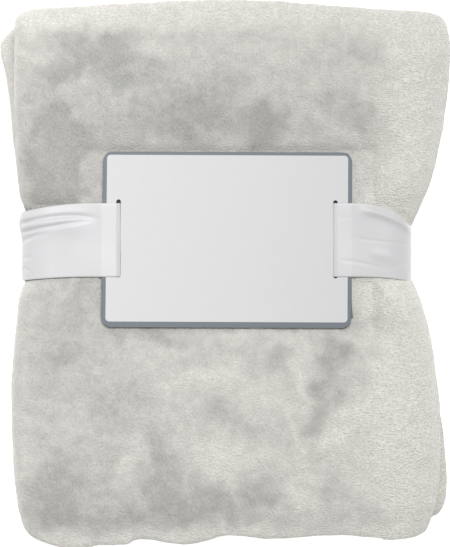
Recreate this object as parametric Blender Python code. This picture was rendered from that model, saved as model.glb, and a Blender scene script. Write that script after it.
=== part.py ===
"""A folded throw blanket, held at the waist by a satin ribbon that threads through a card.

Metres, +Z up. The throw lies flat, with its long side along Y and the card facing +Z.
The origin is on the surface it lies on, under the middle of the whole object.

The throw is one sheet. It is folded in four along Y and in two along X, and that pack of
eight layers is then folded in three like a Z: base third, middle third, top third, joined
by a round fold on the left (base to middle) and one on the right (middle to top).
"""

import math

import bpy
import bmesh

MM = 0.001

# The sheet and how it is folded.
SHEET_LENGTH = 1520 * MM
SHEET_WIDTH = 1270 * MM
PANELS_ALONG_X = 6
PANELS_ALONG_Y = 4
LAYER = 2.75 * MM
THIRDS = 3
LAYERS = PANELS_ALONG_X * PANELS_ALONG_Y
STACK_HEIGHT = LAYERS * LAYER
THIRD_HEIGHT = STACK_HEIGHT / THIRDS
HALF_WIDTH = SHEET_LENGTH / PANELS_ALONG_X / 2
HALF_LENGTH = SHEET_WIDTH / PANELS_ALONG_Y / 2
FOLD_BULGE = 18 * MM
FREE_END_BULGE = 9 * MM
END_ROUND = 9 * MM
GAP = 0.3 * MM
FOLD_GAP = 0.8 * MM

# The ribbon, and the card with its backing.
RIBBON_WIDTH = 43 * MM
RIBBON_THICK = 0.4 * MM
CARD_LENGTH = 148 * MM
CARD_WIDTH = 104 * MM
CARD_THICK = 0.5 * MM
BACKING_THICK = 0.4 * MM
BACKING_SHIFT = 0.7 * MM
CARD_CORNER = 6 * MM
CARD_X = 1.2 * MM
WAIST_Y = 20 * MM
SLOT_OFFSET = 64.2 * MM
SLOT_WIDTH = 2.5 * MM
SLOT_LENGTH = 46.6 * MM
LAP_LENGTH = 20 * MM
SEAM_LENGTH = 2 * MM

# How far the ribbon pulls the throw in.
WAIST_DEPTH = 12 * MM
GROOVE_DEPTH = 2.4 * MM
BAND_ZONE = RIBBON_WIDTH / 2 + 2 * MM
CARD_MARGIN = 6 * MM
WAIST_TOP = STACK_HEIGHT - WAIST_DEPTH
EVEN_LENGTH = 60 * MM

# Heights of the thin pieces above the waist and below it.
BACKING_Z = WAIST_TOP + GAP
BEHIND_Z = BACKING_Z + BACKING_THICK + GAP + RIBBON_THICK / 2
CARD_Z = BEHIND_Z + RIBBON_THICK / 2 + GAP
OVER_CARD_Z = CARD_Z + CARD_THICK + GAP + RIBBON_THICK / 2
SEAM_Z = 0.3 * MM
SEAM_THICK = 0.3 * MM
LAP_Z = SEAM_Z + SEAM_THICK + GAP + RIBBON_THICK / 2

# The care label, caught between the hems of the base third.
LABEL_WIDTH = 25 * MM
LABEL_REACH = 7 * MM
LABEL_THICK = 0.5 * MM
LABEL_Y = 95 * MM


# ---------------------------------------------------------------- shape of the folded throw


def smooth_step(t):
    t = min(max(t, 0.0), 1.0)
    return t * t * (3 - 2 * t)


def bump(value, centre, width):
    return math.exp(-(((value - centre) / width) ** 2))


def beyond_band(y, half_zone):
    """Distance along Y from the edge of the ribbon's zone, 0 inside it."""
    return max(0.0, abs(y - WAIST_Y) - half_zone)


def is_top(z):
    """0 in the base third, 1 in the top third. The lower thirds lie turned under the top one."""
    return smooth_step((z - THIRD_HEIGHT) / THIRD_HEIGHT)


def left_edge(y, z):
    """How far the throw reaches along -X at this length and height in the stack."""
    pull = math.exp(-beyond_band(y, 18 * MM) / (16 * MM))
    top = 124.6 * MM + 2 * MM * bump(y, -80 * MM, 28 * MM) - 5.5 * MM * pull
    turned = 122 * MM + 0.055 * (y - WAIST_Y) - 3 * MM * pull
    turned += 4.5 * MM * bump(y, 135 * MM, 14 * MM)
    return turned + (top - turned) * is_top(z)


def right_edge(y, z):
    """How far the throw reaches along +X at this length and height in the stack."""
    reach = 133.7 * MM if y > WAIST_Y else 125.5 * MM
    waist = 111 * MM
    pull = math.exp(-beyond_band(y, 15 * MM) / (36 * MM))
    top = reach + (waist - reach) * pull
    turned = 122 * MM - 0.055 * (y - WAIST_Y)
    turned += (waist - turned) * math.exp(-beyond_band(y, 15 * MM) / (25 * MM))
    return turned + (top - turned) * is_top(z)


def far_end(x, z):
    """Where the +Y end of the throw lies: a shallow arc, shorter in the turned lower thirds."""
    top = 161.45 * MM - 8.8 * MM * ((x + 5 * MM) / (129 * MM)) ** 2
    turned = top - 7 * MM + 0.05 * x
    return turned + (top - turned) * is_top(z)


def near_end(x, z):
    """Where the -Y end of the throw lies: a little slanted, and wavy."""
    top = -157.4 * MM + 0.032 * x + 2.6 * MM * bump(x, -52 * MM, 9 * MM)
    top += 2.7 * MM * bump(x, 3 * MM, 10 * MM) - 1.3 * MM * bump(x, -26 * MM, 11 * MM)
    turned = top + 7 * MM + 0.05 * x
    return turned + (top - turned) * is_top(z)


def corner_pull(y, z):
    """How far the ribbon rounds off the square left top and right bottom edges."""
    near = math.exp(-beyond_band(y, BAND_ZONE) / (14 * MM))
    up = max(0.0, (z - 2 * THIRD_HEIGHT) / THIRD_HEIGHT)
    down = max(0.0, 1 - z / THIRD_HEIGHT)
    left = 11 * MM * near * (1 - math.sqrt(1 - up * up))
    right = 18 * MM * near * (1 - math.sqrt(1 - down * down))
    return left, right


def top_height(x, y):
    """Height of the top face: pressed flat by the card and the ribbon, lower at both ends."""
    card_x = max(0.0, abs(x - CARD_X) - CARD_LENGTH / 2 - CARD_MARGIN)
    card_y = max(0.0, abs(y - WAIST_Y) - CARD_WIDTH / 2 - CARD_MARGIN)
    by_card = math.exp(-math.hypot(card_x, card_y) / (18 * MM))
    by_ribbon = math.exp(-beyond_band(y, BAND_ZONE) / (22 * MM))
    height = STACK_HEIGHT - WAIST_DEPTH * max(by_card, by_ribbon)
    height -= 8 * MM * smooth_step((y - 125 * MM) / (36 * MM))
    height -= 5 * MM * smooth_step((-y - 135 * MM) / (25 * MM))
    return height


def groove_height(y):
    """Height of the underside: flat on the surface, with a groove where the ribbon passes."""
    return GROOVE_DEPTH * (1 - smooth_step(beyond_band(y, BAND_ZONE) / (20 * MM)))


def settle(x, y, z):
    """Moves a point of the square, even stack to where it lies in the tied throw."""
    toward_end = max(0.0, (abs(y) - EVEN_LENGTH) / (HALF_LENGTH - EVEN_LENGTH)) ** 2
    if y > 0:
        new_y = y + toward_end * (far_end(x, z) - HALF_LENGTH)
    else:
        new_y = y + toward_end * (near_end(x, z) + HALF_LENGTH)
    left, right = corner_pull(new_y, z)
    share_x = x / HALF_WIDTH
    if x > 0:
        new_x = share_x * (right_edge(new_y, z) - right)
    else:
        new_x = share_x * (left_edge(new_y, z) - left)
    low = groove_height(new_y)
    new_z = low + z / STACK_HEIGHT * (top_height(new_x, new_y) - low)
    return new_x, new_y, new_z


# ------------------------------------------------------------------------- building helpers


def material(name, red, green, blue, roughness):
    made = bpy.data.materials.new(name)
    made.use_nodes = True
    shader = made.node_tree.nodes["Principled BSDF"]
    shader.inputs["Base Color"].default_value = (red, green, blue, 1)
    shader.inputs["Roughness"].default_value = roughness
    shader.inputs["Metallic"].default_value = 0
    return made


def new_object(name, mesh_data, body, surface):
    made = bpy.data.objects.new(name, mesh_data)
    made.parent = body
    made.data.materials.append(surface)
    bpy.context.scene.collection.objects.link(made)
    return made


def loft(name, loops, body, surface):
    """A closed solid through loops of points that all have the same count, capped at both ends."""
    bm = bmesh.new()
    rings = [[bm.verts.new(point) for point in loop] for loop in loops]
    count = len(loops[0])
    for one, two in zip(rings, rings[1:]):
        for i in range(count):
            j = (i + 1) % count
            bm.faces.new((one[i], one[j], two[j], two[i]))
    bm.faces.new(list(reversed(rings[0])))
    bm.faces.new(rings[-1])
    bmesh.ops.recalc_face_normals(bm, faces=bm.faces)
    bmesh.ops.triangulate(bm, faces=bm.faces)
    data = bpy.data.meshes.new(name)
    bm.to_mesh(data)
    bm.free()
    data.shade_smooth()
    data.set_sharp_from_angle(angle=math.radians(40))
    return new_object(name, data, body, surface)


def steps(start, end, count):
    return [start + (end - start) * i / (count - 1) for i in range(count)]


# ------------------------------------------------------------------- the throw, by its folds

# Lengths along Y at which each part of the throw has a cross-section, closest at the waist.
STATIONS = [-HALF_LENGTH, -156 * MM, -150 * MM, -136 * MM, -110 * MM, -85 * MM, -62 * MM]
STATIONS += [-44 * MM, -36 * MM, -20 * MM, -2 * MM, 20 * MM, 42 * MM, 58 * MM, 76 * MM]
STATIONS += [88 * MM, 104 * MM, 124 * MM, 140 * MM, 151 * MM, 156 * MM, HALF_LENGTH]
# Where a cross-section has points along X between its two ends, closest at the card's ends.
COLUMNS = [-108 * MM, -98 * MM, -88 * MM, -78 * MM, -52 * MM, -26 * MM, 0.0]
COLUMNS += [26 * MM, 52 * MM, 82 * MM, 90 * MM, 98 * MM]
ARC_STEPS = 9
LEVEL_STEPS = 5


def end_share(y):
    """How much of its height a third keeps at this length, so that both ends are round."""
    inset = max(0.0, abs(y) - (HALF_LENGTH - END_ROUND)) / END_ROUND
    return 0.35 + 0.65 * math.sqrt(max(0.0, 1 - inset * inset))


def throw_part(name, outline, body, surface):
    """Runs an outline in X and Z along the whole length of the throw."""
    middle = (min(z for _, z in outline) + max(z for _, z in outline)) / 2
    loops = []
    for y in STATIONS:
        share = end_share(y)
        loops.append([settle(x, y, middle + (z - middle) * share) for x, z in outline])
    return loft(name, loops, body, surface)


def slab_outline(left, right, low, high):
    levels = steps(low, high, LEVEL_STEPS)[1:-1]
    columns = [x for x in COLUMNS if left + 5 * MM < x < right - 5 * MM]
    columns = [left] + columns + [right]
    bottom = [(x, low) for x in columns]
    top = [(x, high) for x in reversed(columns)]
    right_side = [(right, z) for z in levels]
    left_side = [(left, z) for z in reversed(levels)]
    return bottom + right_side + top + left_side


def fold_outline(base_x, reach, low, high):
    """Half of an ellipse that bulges from base_x by reach, which is negative on the left."""
    middle = (low + high) / 2
    radius = (high - low) / 2
    angles = steps(-math.pi / 2, math.pi / 2, ARC_STEPS)
    return [(base_x + reach * math.cos(a), middle + radius * math.sin(a)) for a in angles]


def fold_solid_outline(base_x, reach, first, second):
    """A fold that joins two thirds, given as their heights, and is flat where it meets them."""
    arc = fold_outline(base_x, reach, first[0], second[1])
    levels = steps(*second, LEVEL_STEPS)[::-1] + steps(*first, LEVEL_STEPS)[::-1]
    return arc + [(base_x, z) for z in levels[1:-1]]


def build_throw(body, fleece):
    half_gap = GAP / 2 * STACK_HEIGHT / WAIST_TOP
    first = (0.0, THIRD_HEIGHT - half_gap)
    second = (THIRD_HEIGHT + half_gap, 2 * THIRD_HEIGHT - half_gap)
    third = (2 * THIRD_HEIGHT + half_gap, STACK_HEIGHT)
    left_joint = -HALF_WIDTH + FOLD_BULGE
    right_joint = HALF_WIDTH - FOLD_BULGE
    inside_left = left_joint + FOLD_GAP
    inside_right = right_joint - FOLD_GAP
    left_free = -HALF_WIDTH + FREE_END_BULGE

    base = slab_outline(inside_left, HALF_WIDTH, *first)
    middle = slab_outline(inside_left, inside_right, *second)
    free_fold = fold_outline(left_free, -FREE_END_BULGE, *third)
    across = slab_outline(left_free, inside_right, *third)
    top = across[:-LEVEL_STEPS + 2] + list(reversed(free_fold))[1:-1]
    left_fold = fold_solid_outline(left_joint, -FOLD_BULGE, first, second)
    right_fold = fold_solid_outline(right_joint, FOLD_BULGE, second, third)

    throw_part("throw_base_third", base, body, fleece)
    throw_part("throw_middle_third", middle, body, fleece)
    throw_part("throw_top_third", top, body, fleece)
    throw_part("throw_left_fold", left_fold, body, fleece)
    throw_part("throw_right_fold", right_fold, body, fleece)


def build_label(body, satin):
    """A folded tab that stands out of the hems of the base third, below the middle third."""
    loops = []
    for y in steps(LABEL_Y - LABEL_WIDTH / 2, LABEL_Y + LABEL_WIDTH / 2, 4):
        x, _, z = settle(HALF_WIDTH, y, THIRD_HEIGHT / 2)
        near, far = x + 2 * GAP, x + LABEL_REACH
        low, high = z - LABEL_THICK / 2, z + LABEL_THICK / 2
        loops.append([(near, y, low), (far, y, low), (far, y, high), (near, y, high)])
    loft("care_label", loops, body, satin)


# ------------------------------------------------------------------------------- the ribbon


def hull(points):
    """The convex outline round points in X and Z, counterclockwise from the lowest left one."""

    def half(ordered):
        kept = []
        for p in ordered:
            while len(kept) > 1:
                (ax, az), (bx, bz) = kept[-2], kept[-1]
                if (bx - ax) * (p[1] - az) - (bz - az) * (p[0] - ax) > 1e-9:
                    break
                kept.pop()
            kept.append(p)
        return kept[:-1]

    ordered = sorted(points)
    return half(ordered) + half(list(reversed(ordered)))


def offset_path(path, distance, closed):
    """Moves a path in X and Z to its right by distance, with mitred corners."""
    count = len(path)
    moved = []
    for i, (x, z) in enumerate(path):
        before = path[i - 1] if closed or i else None
        after = path[(i + 1) % count] if closed or i < count - 1 else None
        normals = []
        for start, end in ((before, (x, z)), ((x, z), after)):
            if start is None or end is None:
                continue
            run = math.dist(start, end)
            normals.append(((end[1] - start[1]) / run, -(end[0] - start[0]) / run))
        nx = sum(n[0] for n in normals) / len(normals)
        nz = sum(n[1] for n in normals) / len(normals)
        square = nx * nx + nz * nz
        moved.append((x + nx * distance / square, z + nz * distance / square))
    return moved


def waist_path():
    """The ribbon's mid line round the throw and over the card's two ends, counterclockwise."""
    points = []
    for y in steps(WAIST_Y - BAND_ZONE, WAIST_Y + BAND_ZONE, 5):
        for x in COLUMNS + [HALF_WIDTH]:
            new_x, _, new_z = settle(x, y, 0)
            points.append((new_x, new_z))
        sides = fold_outline(-HALF_WIDTH + FOLD_BULGE, -FOLD_BULGE, 0, 2 * THIRD_HEIGHT)
        sides += fold_outline(HALF_WIDTH - FOLD_BULGE, FOLD_BULGE, THIRD_HEIGHT, STACK_HEIGHT)
        free_base = -HALF_WIDTH + FREE_END_BULGE
        sides += fold_outline(free_base, -FREE_END_BULGE, 2 * THIRD_HEIGHT, STACK_HEIGHT)
        sides += [(HALF_WIDTH, z) for z in steps(0, THIRD_HEIGHT, ARC_STEPS)]
        for x, z in sides:
            new_x, _, new_z = settle(x, y, z)
            points.append((new_x, new_z))
    for x in (CARD_X - CARD_LENGTH / 2, CARD_X + CARD_LENGTH / 2):
        points.append((x, CARD_Z + CARD_THICK))
    outline = hull([(round(x, 6), round(z, 6)) for x, z in points])
    return offset_path(outline, GAP + RIBBON_THICK / 2, True)


def spread_points(path):
    """Drops points that lie closer together than twice the ribbon's thickness."""
    kept = path[:1]
    for point in path[1:]:
        if math.dist(point, kept[-1]) > 2 * RIBBON_THICK:
            kept.append(point)
    return kept


def cut_path(path, after, before):
    """The stretch of a closed path from the first place to the second, each given as a test."""
    count = len(path)
    first = next(i for i in range(count) if after(path[i]) and not after(path[i - 1]))
    stretch = []
    for step in range(count):
        point = path[(first + step) % count]
        if before(point):
            break
        stretch.append(point)
    return stretch


def ribbon_strip(name, path, body, satin, half_width=RIBBON_WIDTH / 2, y=WAIST_Y):
    """A flat band of the ribbon's thickness that follows a path in X and Z."""
    path = spread_points(path)
    outside = offset_path(path, RIBBON_THICK / 2, False)
    inside = offset_path(path, -RIBBON_THICK / 2, False)
    outline = outside + list(reversed(inside))
    loops = [[(x, side, z) for x, z in outline] for side in (y - half_width, y + half_width)]
    return loft(name, loops, body, satin)


def build_ribbon(body, satin, thread):
    path = waist_path()
    bottom = min(z for _, z in path)
    left_slot = CARD_X - SLOT_OFFSET
    right_slot = CARD_X + SLOT_OFFSET
    card_left = CARD_X - CARD_LENGTH / 2
    card_right = CARD_X + CARD_LENGTH / 2
    half_way = WAIST_TOP / 2
    margin = 5 * MM

    # Round the right side from the underside to the top, and round the left side from there.
    right_side = cut_path(path, lambda p: p[0] > 0 and p[1] < half_way,
                          lambda p: p[0] < card_right + margin and p[1] > half_way)
    left_side = cut_path(path, lambda p: p[0] < card_left - margin and p[1] > half_way,
                         lambda p: p[0] > 0)
    ribbon_strip("ribbon_right_side", right_side, body, satin)
    ribbon_strip("ribbon_left_side", left_side, body, satin)

    def past(point, toward, distance):
        """A point the given distance beyond point, in the direction of toward."""
        run = math.dist(point, toward)
        x = point[0] + (toward[0] - point[0]) * distance / run
        z = point[1] + (toward[1] - point[1]) * distance / run
        return x, z

    # The two front stretches: over the card's margin, then down through its slot.
    leg_foot = BEHIND_Z - RIBBON_THICK / 2
    over_right = (card_right, OVER_CARD_Z)
    over_left = (card_left, OVER_CARD_Z)
    start = past(right_side[-1], over_right, GAP)
    front = [start, over_right, (right_slot, OVER_CARD_Z), (right_slot, leg_foot)]
    ribbon_strip("ribbon_front_right", front, body, satin)
    start = past(left_side[0], over_left, GAP)
    front = [(left_slot, leg_foot), (left_slot, OVER_CARD_Z), over_left, start]
    ribbon_strip("ribbon_front_left", front, body, satin)

    reach = RIBBON_THICK / 2 + GAP
    behind = [(right_slot - reach, BEHIND_Z), (left_slot + reach, BEHIND_Z)]
    ribbon_strip("ribbon_behind_card", behind, body, satin)

    # The underside, the lap where the two ends cross, and the stitches that close the band.
    under = [(left_side[-1][0] + GAP, bottom), (right_side[0][0] - GAP, bottom)]
    ribbon_strip("ribbon_underside", under, body, satin)
    lap = [(-LAP_LENGTH / 2, LAP_Z), (LAP_LENGTH / 2, LAP_Z)]
    ribbon_strip("ribbon_lap", lap, body, satin)
    half = RIBBON_WIDTH / 2 - 2 * MM
    loops = []
    for y in (WAIST_Y - half, WAIST_Y + half):
        side = SEAM_LENGTH / 2
        top = SEAM_Z + SEAM_THICK
        loops.append([(-side, y, SEAM_Z), (side, y, SEAM_Z), (side, y, top), (-side, y, top)])
    loft("ribbon_seam", loops, body, thread)


# --------------------------------------------------------------------------------- the card


def rounded_outline(half_x, half_y, radius, corner_steps):
    """A rectangle's outline with round corners, counterclockwise, about its own middle."""
    outline = []
    for corner, (sx, sy) in enumerate(((1, 1), (-1, 1), (-1, -1), (1, -1))):
        for turn in steps(0, math.pi / 2, corner_steps):
            angle = turn + corner * math.pi / 2
            x = sx * (half_x - radius) + radius * math.cos(angle)
            y = sy * (half_y - radius) + radius * math.sin(angle)
            outline.append((x, y))
    return outline


def card_loops(middle_x, half_x, half_y, radius, low, high, corner_steps):
    outline = rounded_outline(half_x, half_y, radius, corner_steps)
    return [[(middle_x + x, WAIST_Y + y, z) for x, y in outline] for z in (low, high)]


def build_card(body, card_stock):
    """The front card with its two slots, and the plain card behind it that hides the ribbon."""
    loops = card_loops(CARD_X + BACKING_SHIFT, CARD_LENGTH / 2, CARD_WIDTH / 2, CARD_CORNER,
                       BACKING_Z, BACKING_Z + BACKING_THICK, 5)
    loft("backing_card", loops, body, card_stock)
    loops = card_loops(CARD_X, CARD_LENGTH / 2, CARD_WIDTH / 2, CARD_CORNER,
                       CARD_Z, CARD_Z + CARD_THICK, 5)
    card = loft("message_card", loops, body, card_stock)
    for side in (-1, 1):
        middle = CARD_X + side * SLOT_OFFSET
        half = SLOT_WIDTH / 2
        loops = card_loops(middle, half, SLOT_LENGTH / 2, half * 0.999,
                           CARD_Z - CARD_THICK / 2, CARD_Z + 2 * CARD_THICK, 5)
        cutter = loft("slot_cutter_left" if side < 0 else "slot_cutter_right", loops,
                      body, card_stock)
        cutter.hide_render = True
        cutter.display_type = "WIRE"
        cut = card.modifiers.new("slot", "BOOLEAN")
        cut.operation = "DIFFERENCE"
        cut.solver = "EXACT"
        cut.object = cutter


# ------------------------------------------------------------------------------ the assembly


def main():
    for old in list(bpy.data.objects):
        bpy.data.objects.remove(old, do_unlink=True)

    fleece = material("ivory_fleece", 0.62, 0.61, 0.57, 0.95)
    satin = material("white_satin", 0.76, 0.77, 0.78, 0.45)
    card_stock = material("white_card", 0.78, 0.78, 0.78, 0.6)
    thread = material("white_thread", 0.72, 0.72, 0.7, 0.7)

    bodies = {}
    for name in ("throw", "band", "card"):
        empty = bpy.data.objects.new(name, None)
        bpy.context.scene.collection.objects.link(empty)
        bodies[name] = empty
    bodies["band"].parent = bodies["throw"]
    bodies["card"].parent = bodies["band"]

    build_throw(bodies["throw"], fleece)
    build_label(bodies["throw"], satin)
    build_ribbon(bodies["band"], satin, thread)
    build_card(bodies["card"], card_stock)


main()
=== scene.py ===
import math

import bmesh
import bpy
import numpy as np
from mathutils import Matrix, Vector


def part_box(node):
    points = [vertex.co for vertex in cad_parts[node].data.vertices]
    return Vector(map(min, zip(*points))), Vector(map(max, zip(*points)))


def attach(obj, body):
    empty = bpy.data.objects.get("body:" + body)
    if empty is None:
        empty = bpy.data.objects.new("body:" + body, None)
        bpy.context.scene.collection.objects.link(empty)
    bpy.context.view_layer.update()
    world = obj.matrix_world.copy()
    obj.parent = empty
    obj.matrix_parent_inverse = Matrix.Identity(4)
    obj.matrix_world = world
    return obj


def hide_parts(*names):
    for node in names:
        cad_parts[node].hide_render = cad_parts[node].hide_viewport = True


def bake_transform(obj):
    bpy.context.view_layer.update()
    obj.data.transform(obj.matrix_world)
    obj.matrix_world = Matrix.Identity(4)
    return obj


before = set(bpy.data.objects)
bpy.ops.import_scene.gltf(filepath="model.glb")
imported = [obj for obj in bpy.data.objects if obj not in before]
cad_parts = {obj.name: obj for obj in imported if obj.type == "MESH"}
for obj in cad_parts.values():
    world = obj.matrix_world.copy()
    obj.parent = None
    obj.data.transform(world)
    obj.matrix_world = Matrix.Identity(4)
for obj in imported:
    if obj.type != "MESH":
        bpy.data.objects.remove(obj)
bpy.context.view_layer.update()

# ---------------------------------------------------------------------------- the throw
# One sheet of polyester flannel fleece, brushed on both faces, 1270 x 1520 mm. It is folded
# in four along Y and in two along X, and that pack is folded in three like a Z. It is made
# here as that one sheet: a point of the flat cloth is carried through each fold in turn.

MM = 0.001
LAYER = 2.75 * MM
STACK_HEIGHT = 24 * LAYER
THIRD_HEIGHT = STACK_HEIGHT / 3
SHEET_LENGTH = 1520 * MM
SHEET_WIDTH = 1270 * MM
HALF_WIDTH = SHEET_LENGTH / 12
HALF_LENGTH = SHEET_WIDTH / 8
ROUND_FOLD_BULGE = 18 * MM
FREE_FOLD_BULGE = 9 * MM
CLOTH_THICK = 0.94 * LAYER
STRIP_HEIGHT = 4 * LAYER
WAIST_Y = 20 * MM
WAIST_DEPTH = 12 * MM
GROOVE_DEPTH = 2.4 * MM
RIBBON_WIDTH = 43 * MM
CARD_X = 1.2 * MM
CARD_LENGTH = 148 * MM
CARD_WIDTH = 104 * MM
CARD_TRAVEL = 12 * MM
CARD_GAP = 0.5 * MM
ON_FLOOR = 0.02 * MM
HEM_STITCH_LINE = 8.3 * MM


def smooth_step(t):
    t = np.clip(t, 0.0, 1.0)
    return t * t * (3 - 2 * t)


def bump(value, centre, width):
    return np.exp(-(((value - centre) / width) ** 2))


def follow(start, heading, steps, distance):
    """Places and left-hand normals along a path of runs (length, 0) and half turns (length, rise)."""
    across, up = np.zeros_like(distance), np.zeros_like(distance)
    normal_across, normal_up = np.zeros_like(distance), np.zeros_like(distance)
    a, b = start
    begin = 0.0
    for length, rise in steps:
        here = distance >= begin - 1e-9
        gone = distance - begin
        if rise:
            radius, side = abs(rise) / 2, math.copysign(1, rise)
            turn = np.clip(gone / radius, 0, math.pi)
            across = np.where(here, a + heading * radius * np.sin(turn), across)
            up = np.where(here, b + side * radius * (1 - np.cos(turn)), up)
            normal_across = np.where(here, -side * np.sin(turn), normal_across)
            normal_up = np.where(here, heading * np.cos(turn), normal_up)
            b += rise
            heading = -heading
        else:
            across = np.where(here, a + heading * gone, across)
            up = np.where(here, b, up)
            normal_across = np.where(here, 0.0, normal_across)
            normal_up = np.where(here, float(heading), normal_up)
            a += heading * length
        begin += length
    return across, up, normal_across, normal_up


def half_turn(rise):
    return math.pi * abs(rise) / 2, rise


# The first folds, seen along X: in four along Y. The fold of all four layers is at the +Y end.
across_ends = HALF_LENGTH - 2 * LAYER
near_fold = HALF_LENGTH - LAYER
FOUR_FOLD = [
    (HALF_LENGTH + across_ends, 0),
    half_turn(3 * LAYER),
    (near_fold + across_ends, 0),
    half_turn(-LAYER),
    (near_fold + across_ends, 0),
    half_turn(-LAYER),
    (HALF_LENGTH + across_ends, 0),
]

# The last folds, seen along Y: the strip of four layers doubled, then folded in three.
left_fold_x = -HALF_WIDTH + ROUND_FOLD_BULGE
right_fold_x = -left_fold_x
free_fold_x = -HALF_WIDTH + FREE_FOLD_BULGE
Z_FOLD = [
    (HALF_WIDTH - left_fold_x, 0),
    half_turn(3 * STRIP_HEIGHT),
    (right_fold_x - left_fold_x, 0),
    half_turn(STRIP_HEIGHT),
    (right_fold_x - free_fold_x, 0),
    half_turn(STRIP_HEIGHT),
    (right_fold_x - free_fold_x, 0),
    half_turn(-3 * STRIP_HEIGHT),
    (right_fold_x - left_fold_x, 0),
    half_turn(-STRIP_HEIGHT),
    (HALF_WIDTH - left_fold_x, 0),
]


def beyond_band(y, centre, half_zone):
    """Distance along Y from the edge of the ribbon's zone, 0 inside it."""
    return np.maximum(0.0, np.abs(y - centre) - half_zone)


def is_top(z):
    """0 in the base third, 1 in the top third. The lower thirds lie turned under the top one."""
    return smooth_step((z - THIRD_HEIGHT) / THIRD_HEIGHT)


def profile(value, points):
    """A smooth line through given points (place, height) in mm."""
    at, height = np.array(points, float).T
    slope = np.gradient(height, at)
    value = np.clip(value / MM, at[0], at[-1])
    k = np.clip(np.searchsorted(at, value) - 1, 0, len(at) - 2)
    gap = at[k + 1] - at[k]
    s = (value - at[k]) / gap
    rise = height[k] * (1 + 2 * s) * (1 - s) ** 2 + height[k + 1] * s * s * (3 - 2 * s)
    lean = slope[k] * gap * s * (1 - s) ** 2 + slope[k + 1] * gap * s * s * (s - 1)
    return (rise + lean) * MM


# How far the top third and the turned lower thirds reach to each side, along Y. The ribbon
# draws them in, and the corners at the -Y end are rounder than those at the +Y end.
TOP_LEFT = [(-162, 109), (-157, 114.5), (-151, 119), (-143, 121.6), (-130, 123.8), (-105, 125.8),
            (-80, 126.8), (-55, 126), (-30, 124.2), (-10, 122.4), (-3, 120), (2, 119.4),
            (35, 119.4), (39, 121), (46, 123), (62, 123.8), (85, 124.8), (110, 125),
            (135, 125.2), (150, 125.4)]
LOWER_LEFT = [(-162, 100), (-150, 110), (-130, 117), (-80, 118.5), (-20, 118.5), (2, 117.5),
              (36, 119.0), (47, 124.2), (62, 126.4), (80, 128.4), (108, 131.4), (122, 133.4),
              (134, 136.4), (141, 136), (148, 131)]
TOP_RIGHT = [(-160, 113), (-155, 119), (-150, 121.8), (-142, 124.4), (-130, 127), (-105, 128.8),
             (-80, 128.6), (-60, 126.2), (-33, 122), (-14, 116.6), (-5, 113), (0, 110), (24, 110.4),
             (35, 115), (55, 123), (75, 128), (100, 132.2), (120, 134.2), (135, 134.8),
             (147, 133.2), (156, 130.5)]
LOWER_RIGHT = [(-152, 121), (-146, 129.5), (-140, 133), (-130, 134.6), (-110, 133.8),
               (-92, 132), (-75, 128.4), (-50, 122.5), (-25, 115.6), (0, 108), (30, 108),
               (45, 113), (70, 118), (100, 121.5), (150, 123)]
FAR_END = [(-128, 153), (-118, 156.4), (-95, 158.2), (-60, 160.4), (-25, 162.2), (12, 162.4),
           (40, 161.2), (65, 159), (95, 156.6), (120, 155), (134, 153.4)]
NEAR_END = [(-128, -156), (-118, -160), (-110, -162.2), (-102, -162.6), (-86, -160.4),
            (-67, -160), (-57, -157.2), (-49, -157.4), (-38, -159.4), (-24, -160.2),
            (-12, -158.2), (-3, -155.6), (12, -155.2), (25, -156.8), (45, -156), (62, -154.8),
            (75, -154.4), (90, -155.6), (108, -157.4), (120, -156.6), (131, -154.5)]


def left_edge(y, z):
    """How far the throw reaches along -X at this length and height in the stack."""
    turned = profile(y, LOWER_LEFT)
    return turned + (profile(y, TOP_LEFT) - turned) * is_top(z)


def right_edge(y, z):
    """How far the throw reaches along +X at this length and height in the stack."""
    turned = profile(y, LOWER_RIGHT)
    return turned + (profile(y, TOP_RIGHT) - turned) * is_top(z)


def far_end(x, z):
    """Where the +Y end of the throw lies: a shallow arc, shorter in the turned lower thirds."""
    top = profile(x, FAR_END)
    turned = top - 5 * MM
    return turned + (top - turned) * is_top(z)


def near_end(x, z):
    """Where the -Y end of the throw lies: wavy, and shorter in the turned lower thirds."""
    top = profile(x, NEAR_END)
    turned = top + 7 * MM
    return turned + (top - turned) * is_top(z)


def corner_pull(y, z):
    """How far the ribbon rounds off the square left top and right bottom edges."""
    near = np.exp(-beyond_band(y, WAIST_Y, RIBBON_WIDTH / 2) / (14 * MM))
    up = np.clip((z - 2 * THIRD_HEIGHT) / THIRD_HEIGHT, 0, 1)
    down = np.clip(1 - z / THIRD_HEIGHT, 0, 1)
    left = 11 * MM * near * (1 - np.sqrt(1 - up * up))
    right = 18 * MM * near * (1 - np.sqrt(1 - down * down))
    return left, right


def ribbon_edges(x):
    """The lower and upper edges of the front run, which the tight sides draw down and gather."""
    left = np.clip((-x - 80 * MM) / (41 * MM), 0, 1) ** 2
    right = np.clip((x - 80 * MM) / (31.5 * MM), 0, 1) ** 2
    upper = 41.6 * MM - 5.4 * MM * left - 12.6 * MM * right
    lower = -2.0 * MM - 2.3 * MM * left - 2.8 * MM * right
    return lower, upper


def soft_lumps(x, y):
    """Low swells of the loosely folded top face, a few centimetres across."""
    swell = np.sin(x / (17 * MM) + 1.3 * np.sin(y / (31 * MM)))
    swell = swell * np.sin(y / (21 * MM) + 1.1 * np.sin(x / (26 * MM) + 0.7))
    crease = 2.2 * MM * bump(y - 0.05 * x, 142 * MM, 4 * MM) * bump(x, -94 * MM, 20 * MM)
    crease += 1.6 * MM * bump(y - 0.9 * x, 201 * MM, 4.5 * MM) * bump(x, -66 * MM, 13 * MM)
    crease += 1.2 * MM * bump(y + 0.6 * x, -52 * MM, 5 * MM) * bump(x, 66 * MM, 18 * MM)
    return 0.7 * MM * swell - crease


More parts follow.
